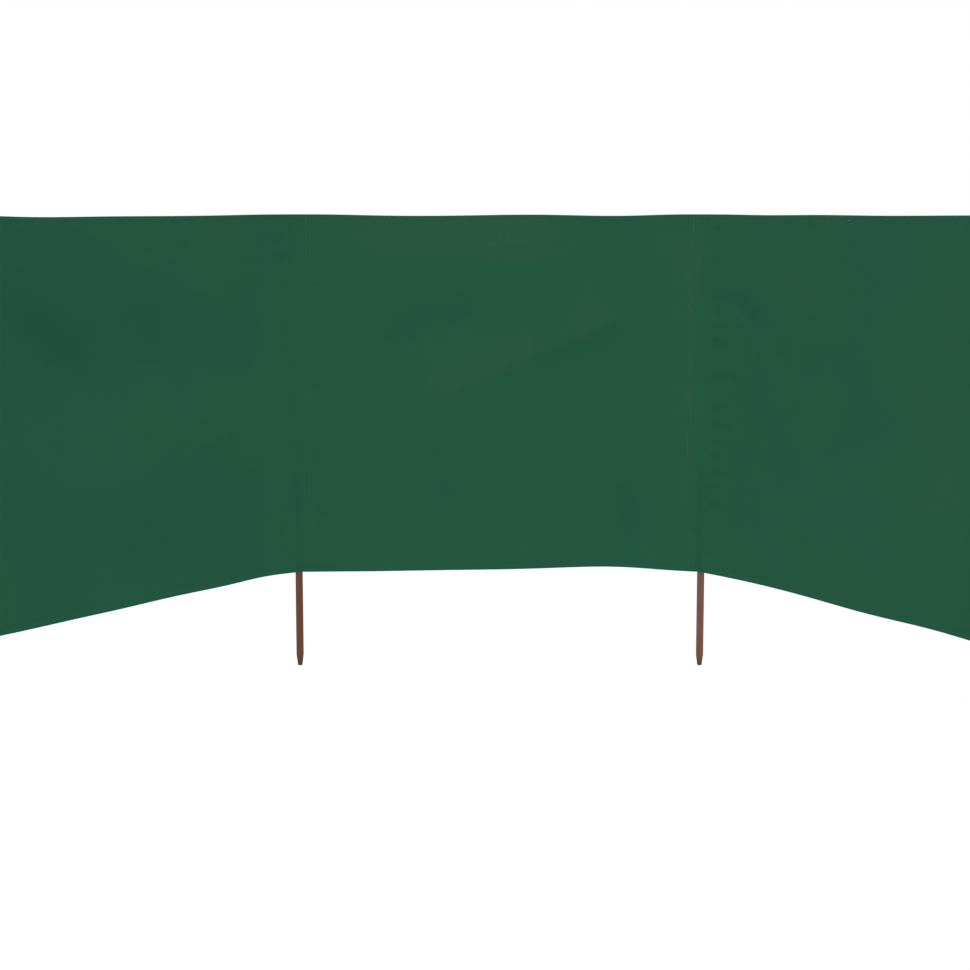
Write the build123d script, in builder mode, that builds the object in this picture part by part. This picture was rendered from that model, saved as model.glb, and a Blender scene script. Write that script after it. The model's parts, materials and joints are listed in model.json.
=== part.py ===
"""Fabric windbreak: one long cloth in six bays on seven turned wooden posts.

The origin is the centre of the blunt tip of post 4, +X runs along bay 3 and +Z is up.
The cloth passes in front of every post, which is the -Y side of bay 3.
A bay has its own frame: x along it from its first post, y behind the line of post axes.
Lengths are millimetres and angles are degrees.
"""

import os
from math import atan, cos, degrees, radians, sin, tan

from build123d import *

# Layout in plan: the heading of each bay, turned from +X towards +Y.
BAY_LENGTH = 1333.0
BAY_HEADINGS = (0.0, 50.8, 0.0, -57.1, 0.0, 50.8)
BAY_COUNT = len(BAY_HEADINGS)
POST_NAMES = [f"post_{number}" for number in range(1, BAY_COUNT + 2)]
ORIGIN_POST = "post_4"

# Turned posts.
POST_RADIUS = 12.0
TIP_RADIUS = 7.5
TIP_LENGTH = 36.0
TIP_CHAMFER = 0.8
POST_TOP_FILLET = 2.5

# Cloth heights above the post tips.
HEM_Z = 318.0
TOP_Z = 1494.0
HEM_HEIGHT = 20.0

# The cloth is drawn thicker than it is, so that its solids stay sound.
CLOTH = 1.5

# Gap between a post and the pocket round it.
POCKET_CLEARANCE = 1.0
POCKET_RADIUS = POST_RADIUS + POCKET_CLEARANCE
CAP_GAP = 1.5
POST_LENGTH = TOP_Z - CLOTH - CAP_GAP

# A pocket strip leaves the cloth at the seam and ends at the flange edge.
SEAM_REACH = 36.0
FLANGE_WIDTH = 14.0
FLANGE_REACH = SEAM_REACH + FLANGE_WIDTH
STRIP_SLOPE = 2.0 * degrees(atan(POCKET_RADIUS / SEAM_REACH))

# Where the cloth bends towards the front it keeps off the post, with a radius at its back face.
BEND_RADIUS = 46.0
BEND_CENTRE = POCKET_RADIUS + BEND_RADIUS

# The hem's folded layers start past the flange, and the billow starts past that.
FOLD_GAP = 4.0
FLAT_RUN = 8.0
HEM_FOLD_REACH = FLANGE_REACH + FOLD_GAP
FLAT_REACH = HEM_FOLD_REACH + FLAT_RUN

# The cloth leaves each bay's first and last post turned by these angles from the bay's heading.
LEG_SLOPES = (
    (5.0, -4.0),
    (1.0, -18.0),
    (2.0, -14.0),
    (8.0, -1.0),
    (1.0, -5.0),
    (2.0, -5.0),
)

# Slack of each bay at one, two, three and four fifths of it.
STATIONS = (0.2, 0.4, 0.6, 0.8)
BILLOWS = (
    (13.0, 20.0, 22.0, 14.0),
    (4.0, 11.0, 21.0, 28.0),
    (10.0, 24.0, 38.0, 46.0),
    (16.0, 9.0, 2.0, 4.0),
    (8.0, 19.0, 24.0, 17.0),
    (11.0, 20.0, 19.0, 14.0),
)
HEM_RISES = (
    (4.0, 6.0, 5.0, 3.0),
    (0.6, 1.2, 1.3, 0.5),
    (0.6, 1.5, 3.8, 8.0),
    (3.7, 5.3, 3.2, 5.0),
    (3.0, 5.0, 7.0, 5.0),
    (4.0, 7.0, 6.0, 3.0),
)
TOP_RISES = (
    (-3.0, -4.0, -3.5, -2.0),
    (-4.8, -4.5, -4.0, -2.0),
    (-3.5, -3.9, -1.2, -4.8),
    (-1.8, -0.6, -2.0, -0.6),
    (-2.5, -4.5, -3.0, -2.0),
    (-2.0, -3.0, -4.0, -2.5),
)


def along(heading):
    """Direction of a heading in plan."""
    return Vector(cos(radians(heading)), sin(radians(heading)))


def behind(heading):
    """Direction from the cloth's front to its back where it runs at a heading."""
    return Vector(-sin(radians(heading)), cos(radians(heading)))


def post_axes():
    """Plan position of every post, with the origin post at zero."""
    axes = [Vector(0.0, 0.0)]
    for heading in BAY_HEADINGS:
        axes.append(axes[-1] + along(heading) * BAY_LENGTH)
    origin = axes[POST_NAMES.index(ORIGIN_POST)]
    return [axis - origin for axis in axes]


POST_AXES = post_axes()


def leg_bay(post, side):
    """Bay on one side of a post: side is 1 for the bay after it and -1 for the one before."""
    return post if side > 0 else post - 1


def leg_sides(post):
    """Sides of a post that have a bay."""
    return [side for side in (1, -1) if 0 <= leg_bay(post, side) < BAY_COUNT]


def leg_heading(post, side):
    """Heading of the cloth where it leaves a post into one of its bays."""
    bay = leg_bay(post, side)
    return BAY_HEADINGS[bay] + LEG_SLOPES[bay][0 if side > 0 else 1]


def leg_point(post, side, reach, depth):
    """Point at a reach from a post along its leg of cloth and at a depth behind the post's axis."""
    heading = leg_heading(post, side)
    return POST_AXES[post] + along(heading) * (side * reach) + behind(heading) * depth


def bay_point(bay, reach, depth):
    """Point at a reach along a bay from its first post and at a depth behind the post axes."""
    heading = BAY_HEADINGS[bay]
    return POST_AXES[bay] + along(heading) * reach + behind(heading) * depth


def turn(post):
    """Turn of the cloth at a post with two bays: positive wraps it round the front of the post."""
    return leg_heading(post, 1) - leg_heading(post, -1)


def bend_start(post):
    """Reach from a post at which the cloth's bend ends and its straight run starts."""
    if len(leg_sides(post)) < 2 or turn(post) > 0:
        return 0.0
    return BEND_CENTRE * tan(radians(-turn(post) / 2))


def bend_centre(post):
    """Centre of the cloth's bend at a post with two bays."""
    if turn(post) > 0:
        return POST_AXES[post]
    return leg_point(post, 1, bend_start(post), -BEND_CENTRE)


def bend_arc(post, offset, first, last):
    """Arc of the bend for a face at an offset in front of the axes, between two shares of the turn."""
    heading = leg_heading(post, -1) + turn(post) * first
    sweep = turn(post) * (last - first)
    if turn(post) > 0:
        return CenterArc(bend_centre(post), offset, heading - 90, sweep)
    return CenterArc(bend_centre(post), BEND_CENTRE - offset, heading + 90, sweep)


def slack_run(bay, first_reach, last_reach, offset):
    """One face of a bay's cloth in plan, straight near the posts and billowing between them."""
    start = leg_point(bay, 1, FLAT_REACH, -offset)
    end = leg_point(bay + 1, -1, FLAT_REACH, -offset)
    slack = [
        bay_point(bay, BAY_LENGTH * station, billow - offset)
        for station, billow in zip(STATIONS, BILLOWS[bay])
    ]
    tangents = (along(leg_heading(bay, 1)), along(leg_heading(bay + 1, -1)))
    Line(leg_point(bay, 1, first_reach, -offset), start)
    Spline(start, *slack, end, tangents=tangents)
    Line(end, leg_point(bay + 1, -1, last_reach, -offset))


def cloth_run(bay, offset):
    """One face of the cloth in plan, from the middle of one bend to the middle of the next."""
    first, last = bay, bay + 1
    if len(leg_sides(first)) == 2:
        bend_arc(first, offset, 0.5, 1.0)
    if len(leg_sides(last)) == 2:
        bend_arc(last, offset, 0.0, 0.5)
    slack_run(bay, bend_start(first), bend_start(last), offset)


def end_point(bay, side, offset):
    """Point where a face of the cloth leaves a bay: 1 for the bay's last post, -1 for its first."""
    post = bay + 1 if side > 0 else bay
    if len(leg_sides(post)) < 2:
        return leg_point(post, -side, 0.0, -offset)
    back = behind(leg_heading(post, -1) + turn(post) / 2)
    if turn(post) > 0:
        return POST_AXES[post] - back * offset
    return bend_centre(post) + back * (BEND_CENTRE - offset)


def cloth_sketch(bay):
    """Single cloth of a bay in plan."""
    back, front = POCKET_RADIUS, POCKET_RADIUS + CLOTH
    with BuildSketch() as plan:
        with BuildLine():
            cloth_run(bay, back)
            cloth_run(bay, front)
            for side in (-1, 1):
                Line(end_point(bay, side, back), end_point(bay, side, front))
        make_face()
    return plan.sketch


def fold_sketch(bay):
    """Two folded layers of a hem in plan, behind the cloth of a bay."""
    back, front = POCKET_RADIUS - 2 * CLOTH, POCKET_RADIUS
    with BuildSketch() as plan:
        with BuildLine():
            slack_run(bay, HEM_FOLD_REACH, HEM_FOLD_REACH, back)
            slack_run(bay, HEM_FOLD_REACH, HEM_FOLD_REACH, front)
            for post, side in ((bay, 1), (bay + 1, -1)):
                Line(
                    leg_point(post, side, HEM_FOLD_REACH, -back),
                    leg_point(post, side, HEM_FOLD_REACH, -front),
                )
        make_face()
    return plan.sketch


def level_run(level, rises):
    """One edge of the cloth in elevation, level near the posts and wavy between them."""
    Line((-BEND_CENTRE, level), (FLAT_REACH, level))
    waves = [(BAY_LENGTH * station, level + rise) for station, rise in zip(STATIONS, rises)]
    Spline(
        (FLAT_REACH, level),
        *waves,
        (BAY_LENGTH - FLAT_REACH, level),
        tangents=((1, 0), (1, 0)),
    )
    Line((BAY_LENGTH - FLAT_REACH, level), (BAY_LENGTH + BEND_CENTRE, level))


def side_sketch(bay, low, low_rises, high, high_rises):
    """What lies between two edges of the cloth, seen square to the bay."""
    heading = BAY_HEADINGS[bay]
    square_on = Plane(origin=POST_AXES[bay], x_dir=along(heading), z_dir=-behind(heading))
    with BuildSketch(square_on) as side:
        with BuildLine():
            level_run(low, low_rises)
            level_run(high, high_rises)
            for reach in (-BEND_CENTRE, BAY_LENGTH + BEND_CENTRE):
                Line((reach, low), (reach, high))
        make_face()
    return side.sketch


def save(builder, node):
    """Name the builder's solid and write it to its own file."""
    builder.part.label = node
    export_step(builder.part, f"parts/{node}.step")


def build_post(post):
    """Round post with a turned blunt tip and a rounded top."""
    with BuildPart() as turned:
        with BuildSketch(Plane(origin=POST_AXES[post], x_dir=(1, 0, 0), z_dir=(0, -1, 0))):
            with BuildLine():
                Polyline(
                    (0, 0),
                    (TIP_RADIUS - TIP_CHAMFER, 0),
                    (TIP_RADIUS, TIP_CHAMFER),
                    (POST_RADIUS, TIP_LENGTH),
                    (POST_RADIUS, POST_LENGTH),
                    (0, POST_LENGTH),
                    close=True,
                )
            make_face()
        revolve(axis=Axis(POST_AXES[post], (0, 0, 1)))
        fillet(turned.edges().sort_by(Axis.Z)[-1], radius=POST_TOP_FILLET)
    save(turned, POST_NAMES[post])


def build_panel(bay):
    """Single cloth of a bay between its two hems."""
    low = HEM_Z + HEM_HEIGHT
    high = TOP_Z - HEM_HEIGHT
    side = side_sketch(bay, low, HEM_RISES[bay], high, TOP_RISES[bay])
    with BuildPart() as panel:
        extrude(cloth_sketch(bay), amount=TOP_Z, dir=(0, 0, 1))
        extrude(side, amount=BAY_LENGTH, both=True, mode=Mode.INTERSECT)
    save(panel, f"panel_{bay + 1}")


def build_hem(bay, low, rises, node):
    """Hem of a bay: the front cloth over two layers folded to the back."""
    side = side_sketch(bay, low, rises, low + HEM_HEIGHT, rises)
    with BuildPart() as hem:
        extrude(cloth_sketch(bay), amount=TOP_Z + HEM_HEIGHT, dir=(0, 0, 1))
        extrude(fold_sketch(bay), amount=TOP_Z + HEM_HEIGHT, dir=(0, 0, 1))
        extrude(side, amount=BAY_LENGTH, both=True, mode=Mode.INTERSECT)
    save(hem, node)


def strip_points(post, side):
    """Corners of a pocket strip beside a post, from its outer tangent point to its inner one."""
    slope = radians(STRIP_SLOPE)
    outer = POCKET_RADIUS + CLOTH
    outer_seam = (outer + (POCKET_RADIUS - CLOTH) * cos(slope)) / sin(slope)
    corners = (
        (outer * sin(slope), outer * cos(slope)),
        (outer_seam, CLOTH - POCKET_RADIUS),
        (FLANGE_REACH, CLOTH - POCKET_RADIUS),
        (FLANGE_REACH, -POCKET_RADIUS),
        (SEAM_REACH, -POCKET_RADIUS),
        (POCKET_RADIUS * sin(slope), POCKET_RADIUS * cos(slope)),
    )
    return [leg_point(post, side, reach, depth) for reach, depth in corners]


def back_angles(post):
    """Start and sweep of the pocket's arc round the back of a post."""
    sides = leg_sides(post)
    heading = leg_heading(post, sides[0])
    if len(sides) == 2:
        return heading + 90 - STRIP_SLOPE, 2 * STRIP_SLOPE - turn(post)
    start = heading + 90 - STRIP_SLOPE if sides[0] > 0 else heading - 90
    return start, 180 + STRIP_SLOPE


def build_sleeve(post):
    """Pocket strip round the back of a post, sewn to the cloth and closed at the top."""
    start, sweep = back_angles(post)
    axis = POST_AXES[post]
    sides = leg_sides(post)
    with BuildPart() as sleeve:
        with BuildSketch(Plane.XY.offset(HEM_Z)):
            with BuildLine():
                CenterArc(axis, POCKET_RADIUS, start, sweep)
                CenterArc(axis, POCKET_RADIUS + CLOTH, start, sweep)
                for side in sides:
                    Polyline(*strip_points(post, side))
                if len(sides) == 1:
                    Line(
                        leg_point(post, sides[0], 0.0, -POCKET_RADIUS),
                        leg_point(post, sides[0], 0.0, -POCKET_RADIUS - CLOTH),
                    )
            make_face()
        extrude(amount=TOP_Z - CLOTH - HEM_Z)
        with BuildSketch(Plane.XY.offset(TOP_Z - CLOTH)):
            with BuildLine():
                CenterArc(axis, POCKET_RADIUS + CLOTH, start, sweep)
                for side in sides:
                    Polyline(*strip_points(post, side)[:4])
                    Line(
                        leg_point(post, side, FLANGE_REACH, -POCKET_RADIUS),
                        leg_point(post, side, bend_start(post), -POCKET_RADIUS),
                    )
                if len(sides) == 2:
                    bend_arc(post, POCKET_RADIUS, 0.0, 1.0)
                else:
                    Line(
                        leg_point(post, sides[0], 0.0, -POCKET_RADIUS),
                        leg_point(post, sides[0], 0.0, -POCKET_RADIUS - CLOTH),
                    )
            make_face()
        extrude(amount=CLOTH)
    save(sleeve, f"sleeve_{post + 1}")


os.makedirs("parts", exist_ok=True)

for post_index in range(len(POST_NAMES)):
    build_post(post_index)
    build_sleeve(post_index)

for bay_index in range(BAY_COUNT):
    build_panel(bay_index)
    build_hem(bay_index, HEM_Z, HEM_RISES[bay_index], f"bottom_hem_{bay_index + 1}")
    build_hem(bay_index, TOP_Z - HEM_HEIGHT, TOP_RISES[bay_index], f"top_hem_{bay_index + 1}")
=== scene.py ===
"""Looks of a fabric windbreak: a long green cloth in six bays on seven stained posts.

The cloth is one line seen from above, carried up from the bottom hem to the top one. It runs in
front of every post, bends there, and hangs slack in each bay. A pocket of the same cloth is sewn
behind every post. All lengths are metres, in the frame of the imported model: +X along bay 3, +Y from
the front of that bay to its back, +Z up. Bays and posts are numbered from 0 in the code.
"""

import json
import logging
import math
from collections.abc import Callable
from dataclasses import dataclass, field
from enum import Enum
from functools import partial

import bpy
import numpy as np
from mathutils import Euler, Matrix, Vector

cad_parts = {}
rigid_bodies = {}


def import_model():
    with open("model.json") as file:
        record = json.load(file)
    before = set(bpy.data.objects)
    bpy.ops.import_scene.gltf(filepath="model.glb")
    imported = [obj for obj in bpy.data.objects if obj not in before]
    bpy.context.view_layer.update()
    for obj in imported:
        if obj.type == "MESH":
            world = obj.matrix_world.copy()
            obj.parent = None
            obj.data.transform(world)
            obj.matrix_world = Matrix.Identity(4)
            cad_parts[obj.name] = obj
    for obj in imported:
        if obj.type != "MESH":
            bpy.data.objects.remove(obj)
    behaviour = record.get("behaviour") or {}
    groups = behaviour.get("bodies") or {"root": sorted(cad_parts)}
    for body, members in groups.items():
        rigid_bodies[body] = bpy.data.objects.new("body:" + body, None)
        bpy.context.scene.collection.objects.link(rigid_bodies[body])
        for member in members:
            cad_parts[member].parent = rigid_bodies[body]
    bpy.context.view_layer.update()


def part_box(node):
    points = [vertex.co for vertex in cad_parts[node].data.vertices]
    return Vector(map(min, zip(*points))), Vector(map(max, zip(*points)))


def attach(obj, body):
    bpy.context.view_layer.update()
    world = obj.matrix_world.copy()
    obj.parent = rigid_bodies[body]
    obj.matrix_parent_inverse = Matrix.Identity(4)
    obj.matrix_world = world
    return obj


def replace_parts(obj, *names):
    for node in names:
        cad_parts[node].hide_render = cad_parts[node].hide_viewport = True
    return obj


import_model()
LOG = logging.getLogger("windbreak")

MM = 0.001
NOTHING = 1e-12  # a length below this counts as none
BODY = "root"
IMAGE_PIXELS = 970
UP = np.array([0.0, 0.0, 1.0])
WHITE = (1.0, 1.0, 1.0, 1.0)

# Samples of a bay's line in plan: its slack, each straight leg and each half bend.
SLACK_SAMPLES, LEG_SAMPLES, BEND_SAMPLES = 1600, 60, 80

Pair = tuple[float, float]
Four = tuple[float, float, float, float]


class Side(Enum):
    """Which way a leg of cloth leaves a post."""

    AFTER = 1
    BEFORE = -1


class Edge(Enum):
    """The two hemmed edges of the cloth."""

    BOTTOM = "bottom"
    TOP = "top"

    @property
    def inward(self) -> float:
        """Way from the edge into the cloth: 1 is up and -1 is down."""
        return 1.0 if self is Edge.BOTTOM else -1.0


def unit(angle: np.ndarray | float) -> np.ndarray:
    """Unit vector in plan at an angle from +X: its cosine and sine."""
    return np.stack([np.cos(angle), np.sin(angle)], axis=-1)


def behind(heading: np.ndarray | float) -> np.ndarray:
    """Unit vector in plan from the front to the back of cloth with a heading."""
    return unit(heading + math.pi / 2)


def scaled_to_one(vectors: np.ndarray) -> np.ndarray:
    """Vectors divided by their own lengths."""
    return vectors / np.maximum(np.linalg.norm(vectors, axis=-1, keepdims=True), NOTHING)


def smoothstep(low: float, high: float, value: np.ndarray) -> np.ndarray:
    """Rise from 0 at low to 1 at high along the cubic 3t^2 - 2t^3."""
    t = np.clip((value - low) / (high - low), 0.0, 1.0)
    return t * t * (3.0 - 2.0 * t)


def bell(distance: np.ndarray, width: np.ndarray | float) -> np.ndarray:
    """Bell exp(-(d/w)^2) of a distance d and a width w."""
    return np.exp(-((distance / width) ** 2))


def wave(rng: np.random.Generator, travel: np.ndarray, lengths: Pair) -> np.ndarray:
    """Angle of a wave: 2 pi times travel over a length drawn at random, from a random start."""
    return 2 * math.pi * travel / rng.uniform(*lengths) + rng.uniform(0, 6.3)


def travelled(points: np.ndarray) -> np.ndarray:
    """Distance along a row of points: the running sum of the steps between them."""
    return np.concatenate([[0.0], np.cumsum(np.linalg.norm(np.diff(points, axis=0), axis=1))])


def resampled(at: np.ndarray, run: np.ndarray, points: np.ndarray) -> np.ndarray:
    """Points at other distances along a row of them, straight between two neighbours."""
    return np.stack([np.interp(at, run, column) for column in points.T], axis=-1)


def clamped_spline(
    knots: np.ndarray, values: np.ndarray, slopes: Pair, at: np.ndarray
) -> tuple[np.ndarray, np.ndarray]:
    """Cubic through the knots with a continuous second derivative and given end slopes.

    The knot slopes m solve m[i-1]/h[i-1] + 2(1/h[i-1] + 1/h[i])m[i] + m[i+1]/h[i] =
    3(d[i-1]/h[i-1] + d[i]/h[i]), where h is the knot spacing and d the slope of each chord.
    Between two knots the curve is the Hermite cubic of their values and slopes.

    Args:
        knots: Rising positions.
        values: Value at each knot.
        slopes: Slope at the first and at the last knot.
        at: Positions to evaluate.

    Returns:
        The values and the slopes at those positions.
    """
    step = np.diff(knots)
    before, after = 1.0 / step[:-1], 1.0 / step[1:]
    chord = np.diff(values) / step
    system = np.diag([1.0, *(2.0 * (before + after)), 1.0])
    system += np.diag([*before, 0.0], -1) + np.diag([0.0, *after], 1)
    right = [slopes[0], *(3.0 * (chord[:-1] * before + chord[1:] * after)), slopes[1]]
    slope = np.linalg.solve(system, right)
    i = np.clip(np.searchsorted(knots, at) - 1, 0, len(step) - 1)
    h = step[i]
    t = (at - knots[i]) / h
    a, b, p, q = values[i], values[i + 1], slope[i] * h, slope[i + 1] * h
    square, cube = 3 * (b - a) - 2 * p - q, 2 * (a - b) + p + q
    return a + t * (p + t * (square + t * cube)), (p + t * (2 * square + 3 * t * cube)) / h


@dataclass(frozen=True)
class Slack:
    """How the cloth of one bay hangs between its two posts.

    Attributes:
        slopes: Turn of the cloth from the bay's heading at its first and last post, in degrees.
        billow: Millimetres that the cloth stands behind the straight line at each station.
        rise: Millimetres that the bottom edge rises at each station.
        dip: Millimetres that the top edge dips at each station.
        seed: Seed of the bay's small wrinkles.
    """

    slopes: Pair
    billow: Four
    rise: Four
    dip: Four
    seed: int


# Shares of the distance between the posts, and the bays from left to right.
STATIONS = (0.2, 0.4, 0.6, 0.8)
BAYS = (
    Slack((5, -4), (13, 20, 22, 14), (4, 6, 5, 3), (3, 4, 3.5, 2), 11),
    Slack((1, -18), (4, 11, 21, 28), (0.6, 1.2, 1.3, 0.5), (4.8, 4.5, 4, 2), 12),
    Slack((2, -14), (10, 24, 38, 46), (0.6, 1.5, 3.8, 8), (3.5, 3.9, 1.2, 4.8), 13),
    Slack((8, -1), (16, 9, 2, 4), (3.7, 5.3, 3.2, 5), (1.8, 0.6, 2, 0.6), 14),
    Slack((1, -5), (8, 19, 24, 17), (3, 5, 7, 5), (2.5, 4.5, 3, 2), 15),
    Slack((2, -5), (11, 20, 19, 14), (4, 7, 6, 3), (2, 3, 4, 2.5), 16),
)


@dataclass(frozen=True)
class Line:
    """Samples along a line in plan.

    Attributes:
        xy: Points, one row each.
        heading: Direction of travel at each point, in radians from +X.
        run: Distance travelled to each point.
    """

    xy: np.ndarray
    heading: np.ndarray
    run: np.ndarray

    @property
    def length(self) -> float:
        """Whole length of the line."""
        return float(self.run[-1])

    def at(self, run: np.ndarray) -> "Line":
        """The same line at other distances along it, straight between its close samples."""
        return Line(resampled(run, self.run, self.xy), np.interp(run, self.run, self.heading), run)


@dataclass(frozen=True)
class Plan:
    """The cloth and its pockets seen from above.

    Attributes:
        posts: Axis of every post.
        pocket_radius: Radius of the pocket round a post, at the cloth's inner face.
        cloth_offset: How far the middle of the cloth runs in front of the post axes.
        bend_radius: Radius of the cloth's back face where it bends towards the front.
        seam_reach: Distance from a post at which the pocket strip meets the cloth.
        flange_reach: Distance from a post at which the pocket strip ends.
        flat_reach: Distance from a post at which the slack starts.
    """

    posts: np.ndarray
    pocket_radius: float = 13 * MM
    cloth_offset: float = 13.75 * MM
    bend_radius: float = 46 * MM
    seam_reach: float = 36 * MM
    flange_reach: float = 50 * MM
    flat_reach: float = 62 * MM

    def heading(self, bay: int) -> float:
        """Heading of the straight line between a bay's two posts."""
        dx, dy = self.posts[bay + 1] - self.posts[bay]
        return math.atan2(dy, dx)

    def span(self, bay: int) -> float:
        """Distance between the axes of a bay's two posts."""
        return float(np.linalg.norm(self.posts[bay + 1] - self.posts[bay]))

    def bay_beside(self, post: int, side: Side) -> int:
        """Number of the bay on one side of a post."""
        return post if side is Side.AFTER else post - 1

    def sides(self, post: int) -> list[Side]:
        """Sides of a post that carry cloth."""
        return [side for side in Side if 0 <= self.bay_beside(post, side) < len(BAYS)]

    def leg_heading(self, post: int, side: Side) -> float:
        """Heading of the cloth where it leaves a post on one side."""
        bay = self.bay_beside(post, side)
        slope = BAYS[bay].slopes[0 if side is Side.AFTER else 1]
        return self.heading(bay) + math.radians(slope)

    def leg_point(
        self, post: int, side: Side, reach: np.ndarray | float, depth: float
    ) -> np.ndarray:
        """Points beside a post: its axis plus reach along the leg plus depth square to it.

        Args:
            post: Number of the post.
            side: Which leg of cloth.
            reach: Distance from the post's axis along the leg.
            depth: Distance behind the axis, square to the leg.

        Returns:
            One point for each reach.
        """
        angle = self.leg_heading(post, side)
        along = np.multiply.outer(np.asarray(reach, float) * side.value, unit(angle))
        return self.posts[post] + along + depth * behind(angle)

    def turn(self, post: int) -> float:
        """Turn of the cloth at a post, positive where it wraps round the post's front."""
        if len(self.sides(post)) < len(Side):
            return 0.0
        return self.leg_heading(post, Side.AFTER) - self.leg_heading(post, Side.BEFORE)

    def bend_start(self, post: int) -> float:
        """Distance from a post at which the cloth's bend ends and its straight run starts."""
        centre = self.pocket_radius + self.bend_radius
        return max(0.0, centre * math.tan(-self.turn(post) / 2))

    def bend(self, post: int, first: float, last: float, count: int = BEND_SAMPLES) -> Line:
        """Part of the bend of the cloth's middle at a post.

        The bend is an arc. Where the cloth wraps the post the arc is centred on the post's axis.
        Otherwise its centre lies in front, at the pocket radius plus the bend radius.

        Args:
            post: Number of the post.
            first: Share of the turn at which the part starts.
            last: Share of the turn at which it ends.
            count: Number of samples.

        Returns:
            The arc, with its run counted from its own start.
        """
        turn = self.turn(post)
        heading = self.leg_heading(post, Side.BEFORE) + turn * np.linspace(first, last, count)
        depth = self.pocket_radius + self.bend_radius
        if turn > 0:
            centre, radius = self.posts[post], -self.cloth_offset
        else:
            centre = self.leg_point(post, Side.AFTER, self.bend_start(post), -depth)
            radius = depth - self.cloth_offset
        run = abs(radius * turn) * np.linspace(0.0, abs(last - first), count)
        return Line(centre + radius * behind(heading), heading, run)

    def bay_line(self, bay: int) -> Line:
        """Middle of the cloth along one bay, from the middle of one bend to that of the next.

        Args:
            bay: Number of the bay.

        Returns:
            Close samples: half a bend, a straight leg, the slack as a cubic over the line between
            the posts, a straight leg and half a bend.
        """
        first, last, slack = bay, bay + 1, BAYS[bay]
        start, offset, heading = self.posts[first], self.cloth_offset, self.heading(bay)
        axes = np.stack([unit(heading), behind(heading)])
        ends = ((first, Side.AFTER), (last, Side.BEFORE))
        (x0, y0), (x1, y1) = (
            axes @ (self.leg_point(*end, self.flat_reach, -offset) - start) for end in ends
        )
        knots = np.array([x0, *(self.span(bay) * s for s in STATIONS), x1])
        values = np.array([y0, *(b * MM - offset for b in slack.billow), y1])
        slopes = tuple(math.tan(math.radians(s)) for s in slack.slopes)
        x = np.linspace(x0, x1, SLACK_SAMPLES)
        y, rate = clamped_spline(knots, values, slopes, x)
        near = np.linspace(self.bend_start(first), self.flat_reach, LEG_SAMPLES)[:-1]
        far = np.linspace(self.flat_reach, self.bend_start(last), LEG_SAMPLES)[1:]
        legs = [self.leg_point(*end, reach, -offset) for end, reach in zip(ends, (near, far))]
        turned = [np.full(len(near), self.leg_heading(*end)) for end in ends]
        xy = [legs[0], start + np.stack([x, y], axis=-1) @ axes, legs[1]]
        headings = [turned[0], heading + np.arctan(rate), turned[1]]
        if self.turn(first):
            bend = self.bend(first, 0.5, 1.0)
            xy, headings = [bend.xy[:-1], *xy], [bend.heading[:-1], *headings]
        if self.turn(last):
            bend = self.bend(last, 0.0, 0.5)
            xy, headings = [*xy, bend.xy[1:]], [*headings, bend.heading[1:]]
        points = np.concatenate(xy)
        return Line(points, np.concatenate(headings), travelled(points))


def placed(name: str, data: bpy.types.ID) -> bpy.types.Object:
    """Put an object into the scene, at the origin.

    Args:
        name: Name of the object.
        data: Its mesh, lamp or camera.

    Returns:
        The object.
    """
    thing = bpy.data.objects.new(name, data)
    bpy.context.scene.collection.objects.link(thing)
    return thing


def dressed(
    mesh: bpy.types.Mesh, material: bpy.types.Material, tone: np.ndarray | None = None
) -> bpy.types.Object:
    """Make a piece of cloth or thread of a mesh, dress it and let it ride on the one body.

    Args:
        mesh: Finished mesh, in the shared frame.
        material: Material to wear.
        tone: Tone of the cloth at every vertex, for its material to read; it holds painted light and
            shade.

    Returns:
        The new object, at the origin.
    """
    if tone is not None:
        layer = mesh.attributes.new("tone", "FLOAT", "POINT")
        layer.data.foreach_set("value", tone.astype(np.float32).ravel())
    mesh.materials.append(material)
    piece = placed(mesh.name, mesh)
    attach(piece, BODY)
    return piece


def smooth_mesh(
    name: str,
    points: np.ndarray,
    faces: list,
    normals: np.ndarray | None = None,
    uv: np.ndarray | None = None,
) -> bpy.types.Mesh:
    """Mesh shaded smooth, for cloth with its own shading normals and a UV map.

    Args:
        name: Name of the mesh.
        points: Vertices.
        faces: Lists of vertex numbers.
        normals: Shading normal of every face corner, in the order of the faces.
        uv: Position on the cloth of every face corner, in metres.

    Returns:
        The mesh.
    """
    mesh = bpy.data.meshes.new(name)
    mesh.from_pydata(points.reshape(-1, 3).tolist(), [], faces)
    mesh.polygons.foreach_set("use_smooth", np.ones(len(mesh.polygons), bool))
    if normals is not None:
        mesh.uv_layers.new(name="cloth").data.foreach_set("uv", uv.astype(np.float32).ravel())
        mesh.normals_split_custom_set(normals.tolist())
    mesh.update()
    return mesh


def cells(index: np.ndarray) -> np.ndarray:
    """Corners of every cell of a grid of vertex numbers, counterclockwise from its front."""
    corners = [index[:-1, :-1], index[:-1, 1:], index[1:, 1:], index[1:, :-1]]
    return np.stack(corners, axis=-1).reshape(-1, 4)


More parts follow.
